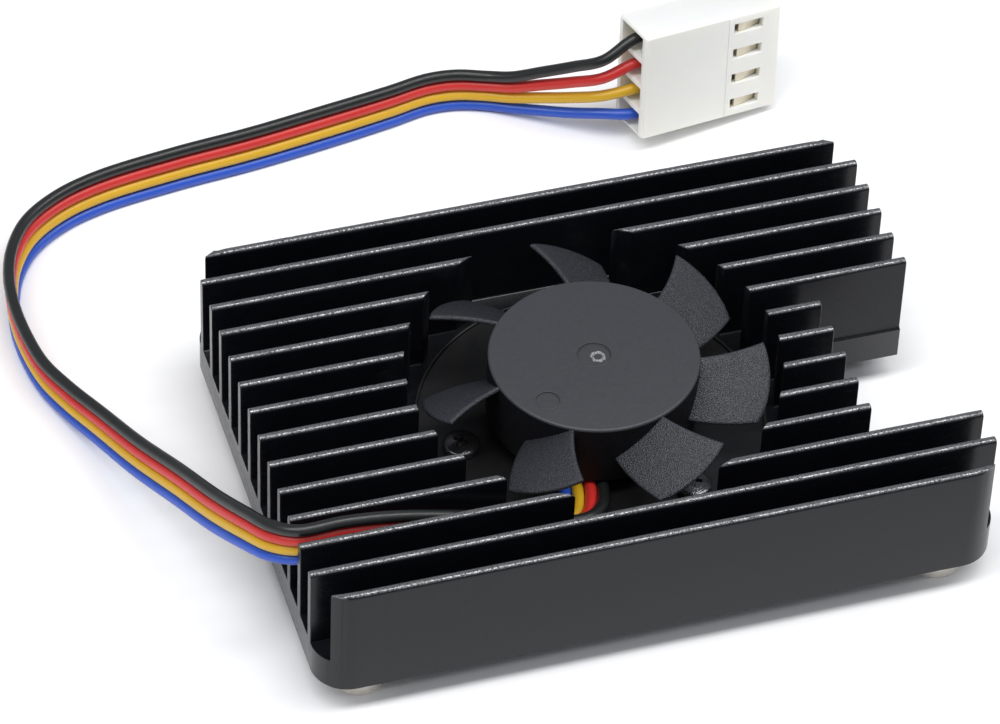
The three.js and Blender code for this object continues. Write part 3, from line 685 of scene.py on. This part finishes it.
def hub():
    """A cup with a softened rim. Its top has a dimple and one round ejector mark, both with a fine flash."""
    wall = HUB_RADIUS - HUB_WALL
    crown_low = HUB_TOP - HUB_CROWN
    rim = curved((HUB_RADIUS - 0.22, HUB_TOP - 0.22), 0.22, 0, 90, 5)
    profile = [
        (0.8, crown_low - 0.9), (1.6, crown_low - 0.9), (1.6, crown_low), (wall, crown_low),
        (wall, HUB_BOTTOM), (HUB_RADIUS - 0.1, HUB_BOTTOM), (HUB_RADIUS, HUB_BOTTOM + 0.1), *rim,
        (0, HUB_TOP),
    ]
    body = turned([(0, crown_low - 0.9), *profile], 160)
    floor, above = HUB_TOP - DIMPLE_DEPTH, HUB_TOP + 0.05
    dimple = turned([(0, floor), (1.3, floor), (1.42, above), (0, above)], 64)
    low = HUB_TOP - 0.09
    mark = turned([(0, low), (0.96, low), (1.0, above), (0, above)], 48)
    mark_at = Vector((6.45, 0, 0))
    mark_at.rotate(Euler((0, 0, math.radians(218))))
    moved(mark, Matrix.Translation(mark_at))
    flashes = []
    for radius, x, y in ((1.37, 0, 0), (0.98, mark_at.x, mark_at.y)):
        flash = turned(curved((radius, HUB_TOP - 0.01), 0.035, 0, 315, 7), 64, closed=True)
        flashes.append(moved(flash, Matrix.Translation((x, y, 0))))
    return joined(combined(body, [dimple, mark], "DIFFERENCE"), *flashes)


def gate_mark():
    """The rough ring left in the dimple where the sprue was twisted off."""
    rings, sides = 20, 72
    made = bmesh.new()
    grid = []
    for ring in range(1, rings + 1):
        radius = SCAR_RADIUS * ring / rings
        row = []
        for side in range(sides):
            angle = 2 * math.pi * side / sides
            x, y = radius * math.cos(angle), radius * math.sin(angle)
            coarse = noise.noise(Vector((x * 4, y * 4, 1.7)))
            torn = coarse + 0.6 * noise.noise(Vector((x * 12, y * 12, 4.2)))
            crest = math.exp(-(((radius - SCAR_CREST_RADIUS - 0.05 * torn) / 0.11) ** 2))
            height = 0.11 * crest * (0.9 + 0.6 * torn) + 0.02 * torn * (radius < 0.6)
            edge = min(1.0, (SCAR_RADIUS - radius) / 0.15)
            z = HUB_TOP - DIMPLE_DEPTH - 0.002 + max(0.0, height) * edge
            row.append(made.verts.new((x + SCAR_AT[0], y + SCAR_AT[1], z)))
        grid.append(row)
    middle = made.verts.new((*SCAR_AT, HUB_TOP - DIMPLE_DEPTH))
    for side in range(sides):
        after = (side + 1) % sides
        made.faces.new((middle, grid[0][side], grid[0][after]))
        for one, other in zip(grid, grid[1:]):
            made.faces.new((one[side], other[side], other[after], one[after]))
    floor = made.verts.new((*SCAR_AT, HUB_TOP - DIMPLE_DEPTH - 0.04))
    for side in range(sides):
        made.faces.new((floor, grid[-1][(side + 1) % sides], grid[-1][side]))
    return made


def blade_point(along, out):
    """A blade's middle surface: along is 0 at the upper edge, 1 at the lower, and out is 0 at the hub."""
    bulge = math.sin(math.pi * min(max(along, 0), 1)) ** 0.7
    side = BLADE_TIP_RADIUS + (BLADE_SIDE_RADIUS - BLADE_TIP_RADIUS) * bulge
    inner = HUB_RADIUS - BLADE_ROOT_DEPTH
    radius = inner + (side - inner) * out
    lead = BLADE_LAG * (out**1.2 - 1)
    sweep = BLADE_SWEEP_INNER + (BLADE_SWEEP_OUTER - BLADE_SWEEP_INNER) * out
    angle = math.radians(BLADE_FIRST_ANGLE + lead - sweep * along)
    height = BLADE_TOP + (BLADE_BOTTOM - BLADE_TOP) * along
    return Vector((radius * math.cos(angle), radius * math.sin(angle), height))


def toward_edges(count):
    """Values from 0 to 1 that crowd together at both ends."""
    return [0.5 - 0.5 * math.cos(math.pi * k / (count - 1)) for k in range(count)]


def blade():
    """A thin curved sheet whose thickness falls off in a round at its free edges."""
    made = bmesh.new()
    alongs, outs = toward_edges(26), toward_edges(22)
    step = 0.01
    layers = []
    for side in (1, -1):
        rows = []
        for along in alongs:
            row = []
            for out in outs:
                middle = blade_point(along, out)
                a = min(along, 1 - step)
                o = min(out, 1 - step)
                down = blade_point(a + step, o) - blade_point(a, o)
                outward = blade_point(a, o + step) - blade_point(a, o)
                normal = down.cross(outward).normalized()
                free = min(along * 6.0, (1 - along) * 6.0, (1 - out) * 5.6) / (0.5 * BLADE_THICKNESS)
                share = math.sqrt(1 - (1 - min(free, 1.0)) ** 2)
                row.append(made.verts.new(middle + normal * (side * share * BLADE_THICKNESS / 2)))
            rows.append(row)
        layers.append(rows)
    for layer, flip in ((layers[0], False), (layers[1], True)):
        for one, other in zip(layer, layer[1:]):
            for k in range(len(outs) - 1):
                corners = [one[k], one[k + 1], other[k + 1], other[k]]
                made.faces.new(reversed(corners) if flip else corners)
    for k in range(len(alongs) - 1):
        made.faces.new((layers[0][k][0], layers[0][k + 1][0], layers[1][k + 1][0], layers[1][k][0]))
    bmesh.ops.remove_doubles(made, verts=made.verts, dist=0.0005)
    bmesh.ops.recalc_face_normals(made, faces=made.faces)
    return made


def add_impeller():
    finish = fan_plastic()
    blades = [
        moved(blade(), Matrix.Rotation(2 * math.pi * k / BLADE_COUNT, 4, "Z")) for k in range(BLADE_COUNT)
    ]
    shown = piece(
        "impeller_shell", joined(hub(), gate_mark(), *blades), finish, body="rotor",
        stands_for=["impeller"], smooth=40,
    )
    for other in (hub_plastic(), torn_plastic(), hub_wall_painted_shade()):
        shown.data.materials.append(other)
    for face in shown.data.polygons:
        centre = face.center / MM
        out = math.hypot(centre.x, centre.y)
        on_top = centre.z > HUB_TOP - 0.25 and out < HUB_RADIUS
        if on_top and (face.normal.z > 0.3 or centre.z > HUB_TOP - 0.2):
            scar = math.hypot(centre.x - SCAR_AT[0], centre.y - SCAR_AT[1])
            raised = HUB_TOP - DIMPLE_DEPTH + 0.025 < centre.z < HUB_TOP - 0.001
            face.material_index = 2 if scar < 0.75 and raised else 1
        # The hub's side faces take the darker material, which is painted shade.
        elif abs(face.normal.z) < 0.02 and HUB_RADIUS - 0.02 < out < HUB_RADIUS + 0.01:
            face.material_index = 3


# ---------------------------------------------------------------- fan: motor

def winding(node):
    """The turns of one coil as a single rounded wire, in the space of its CAD node."""
    low, high = box_mm(node)
    middle, size = (low + high) / 2, high - low
    radial_x = size.x < size.y
    depth, width = (size.x, size.y) if radial_x else (size.y, size.x)
    turns, layers, wire = 5, 3, 0.11
    points = []
    for layer in range(layers):
        half_width = width / 2 - wire - 2 * wire * layer
        half_height = size.z / 2 - wire - 2 * wire * layer
        for k in range(turns * 24):
            angle = 2 * math.pi * k / 24
            share = k / (turns * 24 - 1)
            run = (share if layer % 2 == 0 else 1 - share) * (depth - 2 * wire) - depth / 2 + wire
            squared = (abs(math.cos(angle)) ** 4 + abs(math.sin(angle)) ** 4) ** -0.25
            across = half_width * squared * math.cos(angle)
            up = half_height * squared * math.sin(angle)
            offset = Vector((run, across, up)) if radial_x else Vector((across, run, up))
            points.append(middle + offset)
    return points, wire


def plate_lip():
    """The raised rim round the bracket's plate."""
    low, high = PLATE_TOP - 0.1, PLATE_TOP + LIP_HEIGHT
    outer = curved((PLATE_RADIUS - 0.15, high - 0.12), 0.12, 0, 90, 4)
    inner = curved((PLATE_RADIUS - LIP_WIDTH + 0.12, high - 0.12), 0.12, 90, 180, 4)
    foot_ring = [(PLATE_RADIUS - LIP_WIDTH, low), (PLATE_RADIUS - 0.03, low)]
    return turned([*foot_ring, *outer, *inner], 160, closed=True)


def add_motor():
    dressed("fan_bracket", plate_plastic(), bevel=0.08)
    piece("bracket_lip", plate_lip(), plate_plastic())
    dressed("fan_board", board_green(), bevel=0.03)
    dressed("driver_chip", plain_plastic("chip_black", (0.012, 0.012, 0.012), (0.025, 0.025, 0.026), 0.5))
    nylon = plain_plastic("bobbin_nylon", (0.6, 0.58, 0.5), (0.72, 0.7, 0.62), 0.5)
    core = plain_metal("core_steel", (0.16, 0.16, 0.17), (0.26, 0.26, 0.27), 0.45, stretch=(4, 4, 0.12))
    steel = plain_metal("ground_steel", (0.38, 0.38, 0.39), (0.55, 0.55, 0.56), 0.22, stretch=(1, 1, 0.1))
    bronze = plain_metal("sintered_bronze", (0.32, 0.18, 0.07), (0.5, 0.32, 0.15), 0.4)
    ferrite = plain_plastic("bonded_ferrite", (0.025, 0.025, 0.026), (0.05, 0.05, 0.052), 0.65)
    for node, material in (
        ("bobbin_lower", nylon), ("bobbin_upper", nylon), ("thrust_pad", nylon), ("stator_core", core),
        ("rotor_yoke", core), ("rotor_magnet", ferrite), ("bearing_sleeve", bronze), ("shaft", steel),
        ("shaft_clip", steel),
    ):
        dressed(node, material)
    copper = plain_metal("enamelled_copper", (0.42, 0.12, 0.04), (0.62, 0.24, 0.09), 0.25)
    for number in (1, 2, 3, 4):
        points, wire = winding(f"coil_{number}")
        shown = cord_curve(f"winding_{number}", points, wire, copper)
        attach(shown, "root")
        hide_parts(f"coil_{number}")


# ---------------------------------------------------------------- plug

def plug_matrix():
    """From the plug's own axes to the row frame: x to the mating end, y through its thickness, z across."""
    angles = (-math.radians(PLUG_LEAN), math.radians(PLUG_DROOP), math.radians(PLUG_TURN))
    turn = Euler(angles, "XYZ").to_matrix().to_4x4()
    corners = [turn @ Vector((x, y, 0)) for x in (0, PLUG_LENGTH) for y in (0, PLUG_THICKNESS)]
    return Matrix.Translation((*PLUG_AT, -min(c.z for c in corners))) @ turn


def cell_place(index):
    return (PLUG_WIDTH - 3 * PLUG_PITCH) / 2 + index * PLUG_PITCH


def plug_housing():
    body = block((0, PLUG_LENGTH), (0, PLUG_THICKNESS), (0, PLUG_WIDTH))
    rounded(body, list(body.edges), 0.28, segments=4)
    rails = []
    rail_length = (RAIL_START, PLUG_LENGTH - 0.15)
    rail_depth = (PLUG_THICKNESS - 0.4, PLUG_THICKNESS + RAIL_HEIGHT)
    for offset in (-PLUG_PITCH, PLUG_PITCH):
        z = PLUG_WIDTH / 2 + offset
        rail = block(rail_length, rail_depth, (z - RAIL_HALF_WIDTH, z + RAIL_HALF_WIDTH))
        rails.append(rounded(rail, list(rail.edges), 0.1, segments=2))
    pin_depth = (CELL_MIDDLE - PIN_HALF_WIDTH, CELL_MIDDLE + PIN_HALF_WIDTH)
    cuts = [block((-1, PLUG_STEP), (-1, PLUG_STEP_HEIGHT), (-1, PLUG_WIDTH + 1))]
    for index in range(4):
        z = cell_place(index)
        cell = block((-1, CELL_END), CELL_DEPTH, (z - CELL_HALF_WIDTH, z + CELL_HALF_WIDTH))
        pin = block((CELL_END - 1, PLUG_LENGTH + 1), pin_depth, (z - PIN_HALF_WIDTH, z + PIN_HALF_WIDTH))
        window = block(WINDOW, (-1, CELL_DEPTH[0] + 0.1), (z - WINDOW_HALF_WIDTH, z + WINDOW_HALF_WIDTH))
        cuts += [cell, pin, window]
    made = flattened(combined(combined(body, rails, "UNION"), cuts, "DIFFERENCE"))
    return rounded(made, sharp_edges(made, 50), 0.03, segments=1)


def strip(points, half_width, thickness, z):
    """A band of sheet metal that follows (x, y) points, standing across z."""
    made = bmesh.new()
    rows = []
    for k, (x, y) in enumerate(points):
        before, after = points[max(k - 1, 0)], points[min(k + 1, len(points) - 1)]
        along = Vector((after[0] - before[0], after[1] - before[1])).normalized()
        aside = Vector((-along.y, along.x)) * (thickness / 2)
        ring = []
        for sign, end in ((1, -1), (1, 1), (-1, 1), (-1, -1)):
            place = (x + sign * aside.x, y + sign * aside.y, z + end * half_width)
            ring.append(made.verts.new(place))
        rows.append(ring)
    for one, other in zip(rows, rows[1:]):
        for k in range(4):
            made.faces.new((one[k], one[(k + 1) % 4], other[(k + 1) % 4], other[k]))
    made.faces.new(rows[0])
    made.faces.new(reversed(rows[-1]))
    bmesh.ops.recalc_face_normals(made, faces=made.faces)
    return made


def terminal(index):
    """A folded receptacle with a locking tongue that springs out towards its window, and a closed crimp."""
    z = cell_place(index)
    near, far = CELL_DEPTH[0] + 0.25, CELL_DEPTH[1] - 0.25
    sheet, half = 0.22, CELL_HALF_WIDTH - 0.22
    sleeve = combined(
        block((6.6, 12), (near, far), (z - half, z + half)),
        [block((6, 13), (near + sheet, far - sheet), (z - half + sheet, z + half - sheet))],
        "DIFFERENCE",
    )
    steps = 9
    bow = [k / (steps - 1) for k in range(steps)]
    tongue_points = [(11.55 - 2.3 * t, near - 0.12 - 0.55 * math.sin(t * math.pi / 2) ** 1.3) for t in bow]
    tongue = strip(tongue_points, WINDOW_HALF_WIDTH - 0.03, 0.16, z)
    neck = block((5, 6.8), (far - sheet, far), (z - 0.42, z + 0.42))
    crimp = turned([(0.3, -0.85), (0.62, -0.85), (0.62, 0.85), (0.3, 0.85)], 28, closed=True)
    lengthways = Matrix.Rotation(math.pi / 2, 4, "Y")
    crimp = moved(crimp, Matrix.Translation((4.3, CELL_MIDDLE + 0.1, z)) @ lengthways)
    rounded(sleeve, sharp_edges(sleeve, 50), 0.04, segments=1)
    return joined(sleeve, tongue, neck, crimp)


def add_plug():
    place = plug_matrix()
    housing = moved(plug_housing(), place)
    shown = [piece("plug_shell", housing, ivory_nylon(), stands_for=["plug_housing"])]
    finish = tin_with_painted_reflection()
    for index in range(4):
        made = moved(terminal(index), place)
        node = f"terminal_{index + 1}"
        shown.append(piece(f"receptacle_{index + 1}", made, finish, stands_for=[node]))
    return shown


# ---------------------------------------------------------------- lead

# Each wire's own start: from the board's edge, out under the blades, and round into the channel between
# two fins. The order is that of WIRE_LENGTHS.
WIRE_STARTS = [
    [
        (-4.4, -7, 6.85),
        (-4.95, -9, 6.8),
        (-5.6, -10.2, 6.7),
        (-7, -11, 6.65),
        (-10, -11.7, 6.7),
    ],
    [
        (-3.4, -7, 6.85),
        (-3.9, -9.2, 6.9),
        (-4.5, -10.5, 7),
        (-5.6, -11.25, 7.15),
        (-7, -11.8, 7.3),
        (-10, -12, 7.7),
    ],
    [
        (-2.35, -7, 6.9),
        (-2.85, -9.2, 7.05),
        (-3.6, -10.9, 7.25),
        (-4.5, -11.7, 7.45),
        (-5.6, -12.15, 7.65),
        (-7, -12.55, 8.05),
        (-10, -12.2, 8.65),
    ],
    [
        (-1.3, -7, 6.9),
        (-1.85, -9.2, 7.2),
        (-2.6, -11, 7.8),
        (-3.9, -12.3, 8.3),
        (-5.6, -12.6, 8.55),
        (-7, -12.4, 9.05),
        (-10, -12.2, 9.65),
    ],
]

# The stretch that the four wires share, standing on edge like a ribbon: x, y, the lowest wire's height,
# the spacing from wire to wire, and how far each wire sits to the right of the one below it.
RIBBON = [
    (-13, -12.06, 7.4, 1.05, 0),
    (-16, -12.06, 8.3, 1.05, 0),
    (-20, -12.06, 9.3, 1.05, 0),
    (-24, -12.06, 9.8, 1.05, 0),
    (-27.6, -12.06, 9.8, 1.05, 0),
    (-29.5, -10.7, 9.3, 1.05, 0.06),
    (-31, -7.8, 8.2, 1.05, 0.12),
    (-32.4, -4, 6.6, 1.05, 0.15),
    (-34.1, 1.5, 4.6, 1.05, 0.15),
    (-36, 7, 2.8, 1.05, 0.12),
    (-37.8, 12.4, 1.5, 1.05, 0.08),
    (-39.3, 16.4, 0.8, 1.05, 0.04),
    (-40.5, 19.9, 0.55, 1.05, 0),
    (-41.1, 23.4, 0.5, 1.05, 0),
    (-41.2, 27, 0.5, 1.05, -0.03),
    (-40.7, 30.3, 0.5, 1.05, -0.1),
    (-39.6, 33.5, 0.5, 1.05, -0.15),
    (-37.6, 36.4, 0.5, 1.05, -0.2),
    (-34.6, 38.6, 0.5, 1.05, -0.2),
    (-30.9, 40, 0.5, 1.05, -0.2),
    (-24, 41.2, 0.5, 1.05, -0.2),
    (-17, 42, 0.5, 1.05, -0.2),
    (-10, 43.1, 0.5, 1.05, -0.2),
    (-4.2, 44.2, 0.5, 1.05, -0.15),
    (-0.5, 45, 0.5, 1.05, -0.12),
    (2, 44.9, 0.5, 1.05, -0.1),
    (4.5, 44.1, 0.55, 1.07, -0.05),
    (6.4, 43, 0.75, 1.2, 0),
    (8.7, 41.5, 1.2, 1.5, 0),
    (10.9, 40, 1.75, 1.78, 0),
    (13.2, 38.5, 2.45, 2.1, 0.05),
]
WIRE_END = (0.2, 3.2)  # where the wires enter the plug's cells, and how far in they end


def ribbon_point(row, index):
    x, y, height, spacing, lean = RIBBON[row]
    before, after = RIBBON[max(row - 1, 0)], RIBBON[min(row + 1, len(RIBBON) - 1)]
    along = Vector((after[0] - before[0], after[1] - before[1])).normalized()
    aside = index * lean
    return Vector((x + aside * along.y, y - aside * along.x, height + index * spacing))


def smoothed(points, steps=8):
    """Points along the centripetal Catmull-Rom curve through the given ones."""
    padded = [2 * points[0] - points[1], *points, 2 * points[-1] - points[-2]]
    line = []
    for k in range(len(points) - 1):
        p0, p1, p2, p3 = padded[k : k + 4]
        d0, d1, d2 = [(b - a).length ** 0.5 for a, b in ((p0, p1), (p1, p2), (p2, p3))]
        leave = ((p1 - p0) / d0 - (p2 - p0) / (d0 + d1) + (p2 - p1) / d1) * d1
        arrive = ((p2 - p1) / d1 - (p3 - p1) / (d1 + d2) + (p3 - p2) / d2) * d1
        for step in range(steps):
            t = step / steps
            square, cube = t * t, t * t * t
            line.append(
                p1 * (2 * cube - 3 * square + 1) + leave * (cube - 2 * square + t)
                + p2 * (3 * square - 2 * cube) + arrive * (cube - square)
            )
    return [*line, points[-1]]


def wire_route(index):
    start = [Vector(p) for p in WIRE_STARTS[index]]
    shared = [ribbon_point(row, index) for row in range(len(RIBBON))]
    place = plug_matrix()
    end = [place @ Vector((x, CELL_MIDDLE, cell_place(index))) for x in WIRE_END]
    return smoothed([*start, *shared, *end])


def cord_curve(name, points, radius, material):
    """A round wire along points in millimetres, as one open curve."""
    curve = bpy.data.curves.new(name, "CURVE")
    curve.dimensions = "3D"
    curve.bevel_depth = radius * MM
    curve.bevel_resolution = 5
    curve.use_fill_caps = True
    spline = curve.splines.new("POLY")
    spline.points.add(len(points) - 1)
    for point, place in zip(spline.points, points):
        point.co = (*(place * MM), 1)
    spline.use_smooth = True
    curve.materials.append(material)
    shown = bpy.data.objects.new(name, curve)
    bpy.context.scene.collection.objects.link(shown)
    return shown


def add_lead():
    plug, *receptacles = add_plug()
    colours = {
        "blue": ((0.016, 0.075, 0.46), (0.024, 0.095, 0.55)),
        "yellow": ((0.62, 0.36, 0.012), (0.68, 0.41, 0.02)),
        "red": ((0.55, 0.022, 0.02), (0.64, 0.035, 0.028)),
        "black": ((0.008, 0.009, 0.009), (0.015, 0.017, 0.016)),
    }
    for index, name in enumerate(WIRE_LENGTHS):
        route = wire_route(index)
        wire = cord_curve(f"lead_{name}", route, WIRE_DIAMETER / 2, insulation(name, *colours[name]))
        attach(wire, "root")
        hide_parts(f"wire_{name}")


# ---------------------------------------------------------------- the whole


add_camera()
add_lead()
add_surroundings()
add_floor()
add_heatsink()
add_feet()
add_screws()
add_impeller()
add_motor()
